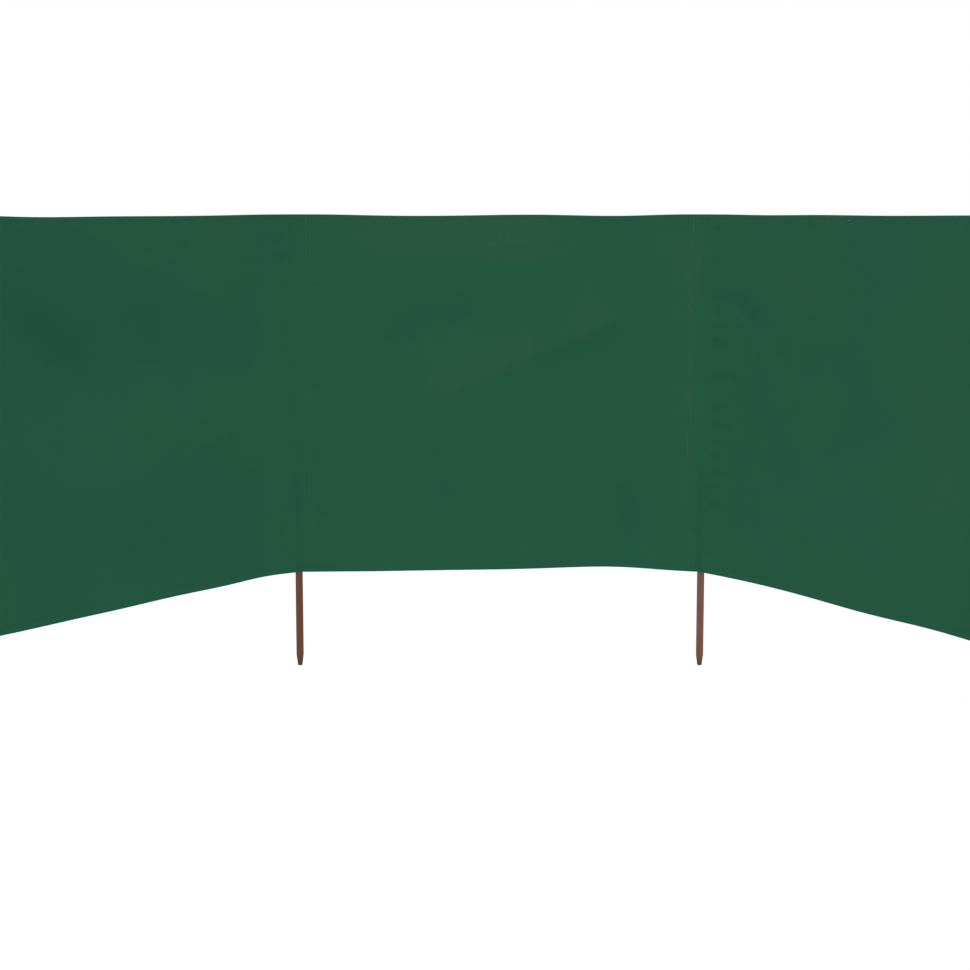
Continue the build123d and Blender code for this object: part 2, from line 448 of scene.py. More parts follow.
def closed_sheet(
    name: str, middle: np.ndarray, back: np.ndarray, thickness: float, uv: np.ndarray
) -> bpy.types.Mesh:
    """Thin closed solid on both sides of a surface.

    The two faces are the middle surface plus and minus half the thickness along its normal, and
    one row of cells closes the edge all round.

    Args:
        name: Name of the mesh.
        middle: Grid of points, rows going up and columns going right as seen from the front.
        back: Unit normal at every point, towards the back.
        thickness: Thickness of the sheet.
        uv: Position on the cloth at every point.

    Returns:
        The mesh.
    """
    half, count = back * thickness / 2, middle[..., 0].size
    points = np.stack([middle - half, middle + half]).reshape(-1, 3)
    index = np.arange(count).reshape(middle.shape[:2])
    front = cells(index)
    border = np.concatenate([index[0, :-1], index[:-1, -1], index[-1, :0:-1], index[:0:-1, 0]])
    onward = np.roll(border, -1)
    rim = np.stack([border, border + count, onward + count, onward], axis=-1)
    quads = np.concatenate([front, front[:, ::-1] + count, rim])
    a, b, c, d = np.moveaxis(points[rim], 1, 0)
    across = np.repeat(scaled_to_one(np.cross(c - a, d - b)), 4, axis=0)
    flat_back = back.reshape(-1, 3)
    parts = (-flat_back[front], flat_back[front[:, ::-1]], across)
    normals = np.concatenate([part.reshape(-1, 3) for part in parts])
    both = np.tile(uv.reshape(-1, 2), (2, 1))
    return smooth_mesh(name, points, quads.tolist(), normals, both[quads])


def closed_tube(name: str, rings: np.ndarray, out: np.ndarray, uv: np.ndarray) -> bpy.types.Mesh:
    """Closed solid carried along rings of the same number of points, with a face at each end.

    Args:
        name: Name of the mesh.
        rings: One closed ring of points for each column, front downwards and back upwards.
        out: Outward unit normal at every point.
        uv: Position on the cloth at every point.

    Returns:
        The mesh.
    """
    index = np.arange(rings[..., 0].size).reshape(rings.shape[:2])
    quads = cells(np.concatenate([index, index[:, :1]], axis=1))
    start, end = index[0, ::-1], index[-1]
    travel = np.stack([rings[0, 0] - rings[1, 0], rings[-1, 0] - rings[-2, 0]])
    caps = np.repeat(scaled_to_one(travel), len(end), axis=0)
    normals = np.concatenate([out.reshape(-1, 3)[quads].reshape(-1, 3), caps])
    order = np.concatenate([quads.ravel(), start, end])
    faces = [*quads.tolist(), start.tolist(), end.tolist()]
    return smooth_mesh(name, rings, faces, normals, uv.reshape(-1, 2)[order])


@dataclass(frozen=True)
class Fold:
    """One shallow fold or hollow in the cloth of a bay, with the tone it gives the cloth: painted
    light or shade.

    Attributes:
        start: Run from the bay's first post and height above the tips at which it begins.
        end: Run and height at which it ends.
        spread: Distance over which it fades, to the right and to the left of its line.
        depth: How far it stands behind the plain surface, negative where it stands in front.
        tone: Painted light or shade there: how far the cloth's colour goes, from -1, its dark one, to
            1, its pale one.
        bow: How far the middle of its line bends to the left.
        fade: Share of its line over which it comes in and goes out.
    """

    start: Pair
    end: Pair
    spread: Pair
    depth: float = 0.0
    tone: float = 0.0
    bow: float = 0.0
    fade: float = 0.3

    def share(self, run: np.ndarray, height: np.ndarray) -> np.ndarray:
        """Strength of the fold at points of the cloth, from 0 to 1.

        Along its line it is a product of two smooth steps, at either end. Across it is the bell
        of the distance from the bowed line, as wide as the spread on that side.

        Args:
            run: Distance of each point along the bay.
            height: Height of each point.

        Returns:
            The strength at each point.
        """
        (x0, z0), (x1, z1) = self.start, self.end
        length = math.hypot(x1 - x0, z1 - z0)
        ux, uz = (x1 - x0) / length, (z1 - z0) / length
        along = ((run - x0) * ux + (height - z0) * uz) / length
        inside = np.clip(along, 0.0, 1.0)
        across = (height - z0) * ux - (run - x0) * uz - 4.0 * self.bow * inside * (1.0 - inside)
        ends = smoothstep(0.0, self.fade, along) * smoothstep(0.0, self.fade, 1.0 - along)
        return ends * bell(across, np.where(across > 0, self.spread[1], self.spread[0]))


# Folds of the bays that the photograph shows, by number, and those of every other bay.
# Each fold's tone is painted light or shade; a fold with no depth is only painted.
FOLDS = {
    1: (
        Fold((0.10, 1.30), (0.55, 0.95), (0.05, 0.09), 4 * MM, -0.3),
        Fold((0.00, 1.12), (1.06, 1.16), (0.19, 0.19), 2 * MM, -0.9),
        Fold((-0.05, 0.52), (1.10, 0.50), (0.22, 0.22), -3 * MM, -0.5, 0.03),
        Fold((0.30, 0.62), (1.25, 0.80), (0.10, 0.16), -4 * MM, 0.0, 0.06),
        Fold((1.02, 1.45), (1.10, 0.40), (0.05, 0.12), 2 * MM, 0.1),
    ),
    2: (
        Fold((0.00, 1.41), (1.05, 1.41), (0.06, 0.13), 0.0, 0.8),
        Fold((0.22, 0.86), (1.20, 1.25), (0.045, 0.13), -6 * MM, 0.65, -0.03),
        Fold((0.18, 1.02), (0.66, 1.20), (0.05, 0.07), 4 * MM, -0.45),
        Fold((1.08, 0.66), (1.10, 0.34), (0.06, 0.05), 3 * MM, -0.8),
        Fold((1.29, 1.70), (1.29, 0.30), (0.06, 0.06), 0.0, 0.4),
        Fold((1.17, 1.60), (1.20, 1.00), (0.08, 0.08), 0.0, 0.35),
        Fold((0.30, 0.52), (1.05, 0.46), (0.12, 0.10), 3 * MM, -0.1),
    ),
    3: (
        Fold((0.03, 1.27), (0.30, 1.12), (0.02, 0.035), 3 * MM, -0.6),
        Fold((1.06, 1.60), (0.98, 0.20), (0.20, 0.10), -3 * MM, 0.4, 0.10),
        Fold((0.25, 0.60), (0.95, 0.90), (0.08, 0.14), 4 * MM, -0.1),
    ),
}
GENERAL_FOLDS = (
    Fold((0.07, 1.42), (0.52, 1.02), (0.04, 0.07), -3 * MM, 0.3),
    Fold((1.26, 1.42), (0.84, 1.00), (0.07, 0.04), -3 * MM, 0.25),
    Fold((0.20, 0.55), (1.10, 0.70), (0.10, 0.14), 3 * MM, -0.4, 0.03),
)


@dataclass(frozen=True)
class Cloth:
    """The whole cloth as one surface.

    Attributes:
        plan: The cloth seen from above.
        hem_z: Height of the bottom edge at the posts.
        top_z: Height of the top edge at the posts.
        hem_height: Height of both hems.
        thickness: Thickness that the single cloth is drawn with, about twice the real one.
        widths: Width of a grid cell in the bends, beside the posts and in the slack.
        row: Height of a grid cell.
        swells: Sizes of the long waves, in millimetres.
        swell_length: Shortest length of a long wave, and how much longer one of 1 mm may be.
        gather: Size of each short wave along the hem stitching.
        gather_length: Shortest and longest of them.
        gather_fade: Distance from the stitching over which they fade.
        pucker: Size of each short wave up the pocket seams.
        pucker_length: Shortest and longest of them.
        pucker_fade: Distance from the flat cloth beside a post over which they fade.
        calm: Distance from there over which the folds come in.
        painted_post_shade: How much painted shade darkens the cloth where a post stands close behind
            it and stops the light through it.
        painted_post_shade_reach: Distances from the post's axis between which that painted shade
            fades.
        painted_post_shade_height: Heights between which it comes in, downwards.
    """

    plan: Plan
    hem_z: float
    top_z: float
    hem_height: float = 20 * MM
    thickness: float = 0.8 * MM
    widths: tuple[float, float, float] = (1.6 * MM, 5 * MM, 10 * MM)
    row: float = 12 * MM
    swells: tuple[float, ...] = (1.2, 1.0, 0.8, 0.5, 0.4)
    swell_length: Pair = (0.25, 0.5)
    gather: float = 0.16 * MM
    gather_length: Pair = (0.035, 0.09)
    gather_fade: float = 0.03
    pucker: float = 0.35 * MM
    pucker_length: Pair = (0.05, 0.15)
    pucker_fade: float = 0.05
    calm: float = 0.14
    painted_post_shade: float = 0.8
    painted_post_shade_reach: Pair = (10.5 * MM, 13.5 * MM)
    painted_post_shade_height: Pair = (0.72, 0.58)

    def ends(self, bay: int) -> Four:
        """Marks along a bay: the end of its first bend, both ends of its slack, its last bend.

        Args:
            bay: Number of the bay.

        Returns:
            The run to each mark.
        """
        plan, marks = self.plan, []
        for post in (bay, bay + 1):
            arc = plan.bend(post, 0.0, 0.5).length if plan.turn(post) else 0.0
            marks.append((arc, arc + plan.flat_reach - plan.bend_start(post)))
        (bend, near), (last_bend, far) = marks
        length = plan.bay_line(bay).length
        return bend, near, length - far, length - last_bend

    def line(self, bay: int) -> Line:
        """Plan line of a bay at the columns of its grid.

        The columns are close in the bends, wider beside the posts and widest in the slack.

        Args:
            bay: Number of the bay.

        Returns:
            One sample for each column.
        """
        line = self.plan.bay_line(bay)
        marks = (0.0, *self.ends(bay), line.length)
        parts = [
            np.linspace(a, b, max(2, round((b - a) / width) + 1))[:-1]
            for a, b, width in zip(marks, marks[1:], (*self.widths, *self.widths[1::-1]))
            if b - a > NOTHING
        ]
        return line.at(np.concatenate([*parts, [line.length]]))

    def reach(self, bay: int, run: np.ndarray) -> np.ndarray:
        """Distance from the nearer post, along its leg of cloth."""
        _, near, far, _ = self.ends(bay)
        return np.minimum(run - near, far - run) + self.plan.flat_reach

    def edge(self, bay: int, edge: Edge, line: Line) -> np.ndarray:
        """Height of one edge along a bay.

        It is level beside the posts. Between them it is the clamped cubic through the rise or dip
        at each station, taken over the straight line between the posts.

        Args:
            bay: Number of the bay.
            edge: Which edge.
            line: Plan line to take it along.

        Returns:
            The height at each sample of the line.
        """
        span, flat = self.plan.span(bay), self.plan.flat_reach
        moves, level = (
            (BAYS[bay].rise, self.hem_z) if edge is Edge.BOTTOM else (BAYS[bay].dip, self.top_z)
        )
        knots = np.array([flat, *(span * s for s in STATIONS), span - flat])
        values = np.array([0.0, *(edge.inward * move * MM for move in moves), 0.0])
        along = (line.xy - self.plan.posts[bay]) @ unit(self.plan.heading(bay))
        along = np.clip(along, flat, span - flat)
        return level + clamped_spline(knots, values, (0.0, 0.0), along)[0]

    def relief(self, bay: int, run: np.ndarray, height: np.ndarray) -> np.ndarray:
        """Depth of the folds and wrinkles behind the plain surface.

        It is the sum of the bay's folds, five long sine waves in random directions, short waves
        along the hem stitching that fade upwards and downwards from it, and short waves up the
        pocket seams that fade away from them. All of it fades to nothing round the posts.

        Args:
            bay: Number of the bay.
            run: Distance of each point along the bay.
            height: Height of each point.

        Returns:
            The depth at each point.
        """
        rng = np.random.default_rng(BAYS[bay].seed)
        depth = sum(fold.depth * fold.share(run, height) for fold in FOLDS.get(bay, GENERAL_FOLDS))
        shortest, longer = self.swell_length
        for size in self.swells:
            length = shortest + longer * size * rng.random()
            angle, phase = rng.uniform(0, math.pi), rng.uniform(0, 2 * math.pi)
            travel = run * math.cos(angle) + height * math.sin(angle)
            depth = depth + size * MM * np.sin(2 * math.pi * travel / length + phase)
        along = upward = 0.0
        for _ in range(5):
            along = along + np.sin(wave(rng, run, self.gather_length))
            upward = upward + np.sin(wave(rng, height, self.pucker_length))
        from_low = np.abs(height - self.hem_z - self.hem_height)
        from_top = np.abs(self.top_z - self.hem_height - height)
        near_hems = np.exp(-from_low / self.gather_fade) + np.exp(-from_top / self.gather_fade)
        depth = depth + self.gather * along * near_hems
        plan, reach = self.plan, self.reach(bay, run)
        away = np.exp(-np.maximum(reach - plan.flat_reach, 0) / self.pucker_fade)
        seam = smoothstep(plan.seam_reach - 6 * MM, plan.flat_reach, reach)
        fade = smoothstep(plan.flat_reach, plan.flat_reach + self.calm, reach)
        return depth * fade + self.pucker * upward * seam * away

    def leg_run(
        self, post: int, side: Side, reach: np.ndarray | float
    ) -> tuple[int, np.ndarray | float]:
        """Bay and run of the points of the cloth at a reach beside a post.

        Args:
            post: Number of the post.
            side: Which leg of cloth.
            reach: Distance from the post's axis along the leg.

        Returns:
            Number of the bay, and the run that many metres short of its slack.
        """
        bay = self.plan.bay_beside(post, side)
        _, near, far, _ = self.ends(bay)
        short = self.plan.flat_reach - reach
        return bay, near - short if side is Side.AFTER else far + short

    def tone(self, bay: int, run: np.ndarray, height: np.ndarray) -> np.ndarray:
        """Tone of the cloth: the painted light and shade of its folds, less painted shade where a
        post stands close behind it.

        Args:
            bay: Number of the bay.
            run: Distance of each point along the bay.
            height: Height of each point.

        Returns:
            The tone at each point.
        """
        # Painted light and shade of the folds.
        paler = sum(fold.tone * fold.share(run, height) for fold in FOLDS.get(bay, GENERAL_FOLDS))
        from_end = np.minimum(run, self.plan.bay_line(bay).length - run)
        # Painted shade low on the cloth, where a post close behind stops the light through it.
        painted_post_shade = self.painted_post_shade * (1.0 - smoothstep(*self.painted_post_shade_reach, from_end))
        return paler - painted_post_shade * smoothstep(*self.painted_post_shade_height, height)

    def surface(
        self, bay: int, line: Line, height: np.ndarray, depth: np.ndarray | float = 0.0
    ) -> tuple[np.ndarray, np.ndarray]:
        """Points and back normals of the cloth.

        A point is the plan line's point, raised to its height and moved behind the line by the
        relief and the extra depth. With d(s, z) the relief, the normal is B - T d_s - Z d_z, where
        T runs along the line, B points behind it and Z points up.

        Args:
            bay: Number of the bay.
            line: Plan line, one sample for each column.
            height: Height of every point, columns last.
            depth: Extra depth of every point.

        Returns:
            Points and unit normals that point to the back.
        """
        step, back = 0.5 * MM, behind(line.heading)
        by_run, by_height = (
            self.relief(bay, line.run + a, height + b) - self.relief(bay, line.run - a, height - b)
            for a, b in ((step, 0.0), (0.0, step))
        )
        moved = (self.relief(bay, line.run, height) + depth)[..., None]
        points = np.concatenate([line.xy + back * moved, height[..., None]], axis=-1)
        flat = back - unit(line.heading) * by_run[..., None] / (2 * step)
        normal = np.concatenate([flat, -by_height[..., None] / (2 * step)], axis=-1)
        return points, scaled_to_one(normal)


@dataclass
class Panel:
    """Single cloth of one bay between its two hems.

    Attributes:
        cloth: The cloth it is part of.
        bay: Number of the bay.
        material: Finish of the cloth.
    """

    cloth: Cloth
    bay: int
    material: bpy.types.Material

    def build(self) -> bpy.types.Object:
        """Make the panel.

        Returns:
            A closed sheet whose columns follow the plan line and whose rows divide the height
            between the two hems evenly.
        """
        cloth, bay = self.cloth, self.bay
        line = cloth.line(bay)
        low, high = (cloth.edge(bay, e, line) + e.inward * cloth.hem_height for e in Edge)
        rows = round((cloth.top_z - cloth.hem_z) / cloth.row)
        height = low + np.linspace(0.0, 1.0, rows)[:, None] * (high - low)
        points, back = cloth.surface(bay, line, height)
        uv = np.stack(np.broadcast_arrays(line.run, height), axis=-1)
        mesh = closed_sheet(f"cloth_{bay + 1}", points, back, cloth.thickness, uv)
        # Painted light and shade of the folds, and painted shade where a post stands behind.
        tone = cloth.tone(bay, line.run, height)
        piece = dressed(mesh, self.material, np.stack([tone, tone]))
        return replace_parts(piece, f"panel_{bay + 1}")


@dataclass
class Hem:
    """One hem of a bay: the cloth's edge turned up twice to the back and stitched.

    Attributes:
        cloth: The cloth it is part of.
        bay: Number of the bay.
        edge: Which edge of the cloth.
        material: Finish of the cloth.
        fold: Depth of the folded layers behind the cloth's middle.
        lip: Distance from the fold's inner edge to the panel.
        stitch: Height of the stitching above the edge.
        dent: How far the stitching pulls both faces in.
        puff: How far the faces stand out between edge and stitching.
    """

    cloth: Cloth
    bay: int
    edge: Edge
    material: bpy.types.Material
    fold: float = 1.9 * MM
    lip: float = 2.2 * MM
    stitch: float = 15 * MM
    dent: float = 0.35 * MM
    puff: float = 0.25 * MM

    @property
    def name(self) -> str:
        """Name of the CAD node that the hem stands for."""
        return f"{self.edge.value}_hem_{self.bay + 1}"

    def folded(self, line: Line) -> np.ndarray:
        """Share of the folded layers at each column: 0 beside the posts, where the pocket is."""
        start = self.cloth.plan.flange_reach + 1 * MM
        return smoothstep(start, start + 5 * MM, self.cloth.reach(self.bay, line.run))

    def crown(self, height: np.ndarray) -> np.ndarray:
        """How far a face stands out: half a sine squared, less the bell of the dent."""
        puff = self.puff * np.sin(np.pi * np.clip(height / self.stitch, 0, 1)) ** 2
        return puff - self.dent * bell(height - self.stitch, 1.2 * MM)

    def profile(self) -> tuple[np.ndarray, np.ndarray]:
        """Section of the hem, from the top of its front face round the edge to the top of its back.

        Heights fall on the front face, follow a half circle round the edge, rise on the back face
        and follow a smaller half circle round the fold's inner edge. Both faces stand out by the
        crown.

        Returns:
            Two sections of the same number of points, for single cloth and for folded cloth. A row
            is a point's depth behind the cloth's middle and its height from the edge, then its
            outward direction in depth and height.
        """
        half, tall = self.cloth.thickness / 2, self.cloth.hem_height
        inner = tall - self.lip
        radius, small = (self.fold + half) / 2, (self.fold - half) / 2
        front, back = np.linspace(tall, radius, 9), np.linspace(radius, inner, 9)
        turn, lip = (np.linspace(0, math.pi, count)[1:-1] for count in (9, 5))
        deep = (
            -half - self.crown(front) * (front < tall),
            radius - half - radius * np.cos(turn),
            self.fold + self.crown(back),
            half + small + small * np.cos(lip),
            [half, half],
        )
        high = (front, radius - radius * np.sin(turn), back, inner + small * np.sin(lip))
        ring = np.stack([np.concatenate(deep), np.concatenate([*high, [inner, tall]])], axis=-1)
        step = np.roll(ring, -1, axis=0) - np.roll(ring, 1, axis=0)
        out = scaled_to_one(step[:, ::-1] * (1.0, -1.0))
        out[0], out[-2:] = (-1.0, 0.0), (1.0, 0.0)
        fall, rise = len(front), len(ring) - len(front) - len(turn)
        across = np.concatenate([np.full(fall, -1.0), -np.cos(turn), np.ones(rise)])
        down = np.concatenate([np.zeros(fall), -np.sin(turn), np.zeros(rise)])
        flat = (np.linspace(tall, half, fall), half - half * np.sin(turn))
        height = np.concatenate([*flat, np.linspace(half, tall, rise)])
        single = np.stack([half * across, height, across, down], axis=-1)
        return single, np.concatenate([ring, out], axis=-1)

    def build(self) -> bpy.types.Object:
        """Make the hem.

        Its cloth carries painted shade along the edge and along the stitching.

        Returns:
            A closed piece: the section carried along the plan line, with its folded layers faded
            out beside the posts.
        """
        cloth, line = self.cloth, self.cloth.line(self.bay)
        single, folded = self.profile()
        section = single + self.folded(line)[:, None, None] * (folded - single)
        if self.edge is Edge.TOP:
            section = section[:, ::-1] * (1.0, 1.0, 1.0, -1.0)
        deep, rise, out_back, out_up = section.T
        height = cloth.edge(self.bay, self.edge, line) + self.edge.inward * rise
        points, back = cloth.surface(self.bay, line, height, deep)
        out = scaled_to_one(out_back[..., None] * back + out_up[..., None] * UP)
        uv = np.stack(np.broadcast_arrays(line.run, height), axis=-1)
        grids = (grid.swapaxes(0, 1) for grid in (points, out, uv))
        mesh = closed_tube(f"folded_{self.name}", *grids)
        # Painted shade along the folded edge and in the dent of the stitching.
        lines = bell(rise, 2.5 * MM) + 0.7 * bell(rise - self.stitch, 1.5 * MM)
        tone = cloth.tone(self.bay, line.run, height) - 1.3 * lines
        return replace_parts(dressed(mesh, self.material, tone.T), self.name)


@dataclass
class Sleeve:
    """Pocket strip round the back of a post, sewn to the cloth and closed over the post's top.

    Attributes:
        cloth: The cloth that the strip is sewn to.
        post: Number of the post.
        material: Finish of the cloth.
        crown: Height over which the pocket closes above the post.
        closing: Share of the way that it closes, just short of 1 so that its faces stay apart.
        rows: Number of rows below the crown.
        crown_rows: Number of rows in the crown.
        columns: Number of columns.
        clear: Shares of the line, from either end, between which it comes clear of the cloth.
        puff: Size of each slow wave where it stands clear.
        puff_length: Shortest and longest of them.
        wrap: Share of an end post's arc that keeps to the circle.
        seed: Seed of the first pocket's waves.
        ease: Width of the bell that eases the corners, in samples of the sampling distance.
        sampling: Distance between those samples.
        gap: Distance between the strip's flange and the cloth.
    """

    cloth: Cloth
    post: int
    material: bpy.types.Material
    crown: float = 4 * MM
    closing: float = 0.9995
    rows: int = 60
    crown_rows: int = 11
    columns: int = 64
    clear: Pair = (0.10, 0.22)
    puff: float = 0.16 * MM
    puff_length: Pair = (0.07, 0.45)
    wrap: float = 0.65
    seed: int = 40
    ease: float = 3.5
    sampling: float = 0.5 * MM
    gap: float = 0.05 * MM

    @property
    def flange_depth(self) -> float:
        """Depth of the flange's middle in front of the post's axis."""
        return self.cloth.plan.cloth_offset - self.cloth.thickness - self.gap

    def corner_line(self) -> np.ndarray:
        """Line of the strip in plan, with sharp corners.

        It runs along the flange to the seam, along the tangent from the seam to a circle round the
        post, round the circle and down the other side in the same way. At an end post it goes on
        round the outside to the front, where it meets the cloth.

        Returns:
            Points of the line, from left to right as seen from the front.
        """
        plan, post = self.cloth.plan, self.post
        radius, depth = plan.pocket_radius + self.cloth.thickness / 2, self.flange_depth
        slope = math.asin(radius / math.hypot(plan.seam_reach, depth))
        slope += math.atan2(depth, plan.seam_reach)
        reach = np.array([plan.flange_reach, plan.seam_reach])
        ends = {
            side: (
                plan.leg_point(post, side, reach, -depth),
                plan.leg_heading(post, side) + math.pi / 2 - side.value * slope,
            )
            for side in plan.sides(post)
        }
        if len(ends) == len(Side):
            (before, start), (after, stop) = ends[Side.BEFORE], ends[Side.AFTER]
            arc = plan.posts[post] + radius * unit(np.linspace(start, stop, 60))
            return np.concatenate([before, arc, after[::-1]])
        [(side, (flange, start))] = ends.items()
        stop = plan.leg_heading(post, side) + math.pi * (0.5 + side.value)
        radii = np.interp(np.linspace(0, 1, 90), (self.wrap, 1.0), (radius, plan.cloth_offset))
        arc = plan.posts[post] + radii[:, None] * unit(np.linspace(start, stop, 90))
        line = np.concatenate([flange, arc])
        return line if side is Side.BEFORE else line[::-1]

    def soft_line(self) -> tuple[np.ndarray, np.ndarray]:
        """The strip's line with its corners eased.

        The line is sampled evenly, and each sample becomes the bell-weighted mean of those within
        4 mm, except the ends, which stay.

        Returns:
            A point for each column and its distance along the line.
        """
        corners = self.corner_line()
        run = travelled(corners)
        fine = resampled(np.arange(0.0, run[-1], self.sampling), run, corners)
        reach = round(4 * MM / self.sampling)
        weights = bell(np.arange(-reach, reach + 1), self.ease)
        before, after = 2 * fine[0] - fine[reach:0:-1], 2 * fine[-1] - fine[-2 : -reach - 2 : -1]
        longer = np.concatenate([before, fine, after])
        eased = [np.convolve(column, weights / weights.sum(), "valid") for column in longer.T]
        soft = np.stack(eased, axis=-1)
        run = travelled(soft)
        at = np.linspace(0.0, run[-1], self.columns)
        return resampled(at, run, soft), at

    def build(self) -> bpy.types.Object:
        """Make the pocket strip.

        Up to the crown every row is the soft line, moved out by a few slow waves where it stands
        clear of the cloth. In the crown the row shrinks towards the cloth behind the top edge by
        the quarter ellipse sqrt(1 - t^2), with t the share of the crown's height.

        Returns:
            A closed sheet of two faces and the rim round them.
        """
        cloth = self.cloth
        rng = np.random.default_rng(self.seed + self.post)
        xy, run = self.soft_line()
        travel = scaled_to_one(np.gradient(xy, run, axis=0))
        outward = np.stack([-travel[:, 1], travel[:, 0]], axis=-1)
        start = cloth.top_z - cloth.thickness / 2 - self.crown
        dome = np.sin(np.linspace(0.0, math.pi / 2, self.crown_rows + 1)[1:])
        rise = np.linspace(cloth.hem_z, start, self.rows)
        height = np.concatenate([rise, start + self.crown * dome])[:, None]
        shrink = np.sqrt(1.0 - (self.closing * np.concatenate([0.0 * rise, dome])) ** 2)
        share = run / run[-1]
        clear = smoothstep(*self.clear, share) * smoothstep(*self.clear, 1.0 - share)
        waves = sum(
            1.0 + np.sin(wave(rng, height, self.puff_length) + share * rng.uniform(-6, 6))
            for _ in range(5)
        )
        puff = waves * self.puff * clear * smoothstep(0.0, 0.05, start - height)
        body = xy + outward * puff[..., None] + self.follow(xy, height)
        anchor = self.anchor(xy)
        body = anchor + (body - anchor) * shrink[:, None, None]
        length, height = np.broadcast_arrays(run, height)
        points = np.concatenate([body, height[..., None]], axis=-1)
        normal = scaled_to_one(np.cross(np.gradient(points, axis=0), np.gradient(points, axis=1)))
        uv = np.stack([length, height], axis=-1)
        mesh = closed_sheet(f"pocket_{self.post + 1}", points, normal, cloth.thickness, uv)
        tone = np.broadcast_to(0.2 * clear, (2, *length.shape))
        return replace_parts(dressed(mesh, self.material, tone), f"sleeve_{self.post + 1}")

    def follow(self, xy: np.ndarray, height: np.ndarray) -> np.ndarray:
        """Shift of the strip that keeps its flanges on the wrinkled cloth.

        It is the cloth's relief at the same reach and height, in full on the flange, and less the
        further the strip stands behind the cloth.

        Args:
            xy: Points of the strip in plan.
            height: Height of each row, as a column.

        Returns:
            Shift in plan of every point, rows first.
        """
        cloth, plan = self.cloth, self.cloth.plan
        shift = np.zeros((len(height), len(xy), 2))
        for side in plan.sides(self.post):
            heading = plan.leg_heading(self.post, side)
            reach = (xy - plan.posts[self.post]) @ unit(heading) * side.value
            depth = (xy - plan.posts[self.post]) @ behind(heading) + self.flange_depth
            share = smoothstep(0.6 * plan.seam_reach, plan.seam_reach, reach)
            share = share * smoothstep(10 * MM, 0.0, np.abs(depth))
            bay, run = cloth.leg_run(self.post, side, reach)
            shift += (cloth.relief(bay, run, height) * share)[..., None] * behind(heading)
        return shift

    def anchor(self, xy: np.ndarray) -> np.ndarray:
        """Points on the back of the cloth that the pocket's points close towards.

        Each point is moved straight along the fold's middle direction until it meets the cloth.

        Args:
            xy: Points of the strip in plan.

        Returns:
            One point on the cloth for each.
        """
        plan, post = self.cloth.plan, self.post
        headings = {side: plan.leg_heading(post, side) for side in plan.sides(post)}
        middle = sum(headings.values()) / len(headings)
        reach = (xy - plan.posts[post]) @ unit(middle)
        depth = -self.flange_depth + sum(
            np.where(reach * side.value > 0, reach * math.tan(heading - middle), 0.0)
            for side, heading in headings.items()
        )
        return plan.posts[post] + reach[:, None] * unit(middle) + depth[:, None] * behind(middle)


@dataclass
class Stitching:
    """Rows of lock stitches along one piece, on both of its faces.

    Attributes:
        name: Name of the piece.
        material: Finish of the thread.
        pitch: Distance from one stitch to the next.
        length: Length of the thread that shows in a stitch.
        width: Width of the thread, drawn wider than the real 0.3 mm so that it shows.
        lift: How far a stitch stands out, as a share of its width.
        rows: Corners of the stitches added so far, one array for each row of stitches.
    """

    name: str
    material: bpy.types.Material
    pitch: float = 5 * MM
    length: float = 4.2 * MM
    width: float = 0.8 * MM
    lift: float = 0.45
    rows: list[np.ndarray] = field(default_factory=list)

    def add_row(self, path: np.ndarray, out: np.ndarray) -> None:
        """Add a row of stitches along a path.

        Args:
            path: Points close together on the cloth's face.
            out: Outward normal at each point.
        """
        run = travelled(path)
        at = np.arange(self.pitch, run[-1] - self.pitch / 2, self.pitch)
        start, middle, end = (
            resampled(at + share * self.length, run, path) for share in (-0.5, 0.0, 0.5)
        )
        normal = resampled(at, run, out)
        side = np.cross(normal, scaled_to_one(end - start)) * self.width / 2
        lift = normal * self.width * self.lift
        corners = [start, middle + side, middle + lift, middle - side, middle - lift, end]
        self.rows.append(np.stack(corners, axis=1))

    def build(self) -> bpy.types.Object:
        """Make the stitches.

        Returns:
            The piece. Each stitch is a long double pyramid with four corners round its middle.
        """
        corners = np.concatenate(self.rows)
        ring = np.array([1, 2, 3, 4])
        onward = np.roll(ring, -1)
        near = np.stack([0 * ring, onward, ring], axis=-1)
        far = np.stack([0 * ring + 5, ring, onward], axis=-1)
        first = np.arange(len(corners))[:, None, None] * corners.shape[1]
        faces = (first + np.concatenate([near, far])).reshape(-1, 3)
        return dressed(smooth_mesh(self.name, corners, faces.tolist()), self.material)


def linear(code: str) -> Four:
    """Scene-linear colour of an sRGB hex code.

    A channel c from 0 to 1 becomes c / 12.92 below 0.04045, and ((c + 0.055) / 1.055)^2.4 above.

    Args:
        code: The code, such as #21553F.

    Returns:
        Red, green and blue, and an alpha of 1.
    """
    channels = [int(code[k : k + 2], 16) / 255 for k in (1, 3, 5)]
    values = [c / 12.92 if c <= 0.04045 else ((c + 0.055) / 1.055) ** 2.4 for c in channels]
    return (*values, 1.0)


def add_node(
    tree: bpy.types.NodeTree,
    kind: str,
    sockets: dict[str | int, object] | tuple = (),
    **settings: object,
) -> bpy.types.Node:
    """Add a node with its settings and links.

    Args:
        tree: Tree to add to.
        kind: Type name of the node, without its first word ShaderNode.
        sockets: What each input takes, by its name or number, or in the order of the inputs. It is
            a value, the output socket that feeds it, or a node whose first output feeds it.
        **settings: Properties of the node.

    Returns:
        The node.
    """
    node = tree.nodes.new(f"ShaderNode{kind}")
    for name, value in settings.items():
        setattr(node, name, value)
    for name, value in sockets.items() if isinstance(sockets, dict) else enumerate(sockets):
        if isinstance(value, bpy.types.Node):
            value = next(output for output in value.outputs if output.enabled)
        if isinstance(value, bpy.types.NodeSocket):
            tree.links.new(value, node.inputs[name])
        else:
            node.inputs[name].default_value = value
    return node


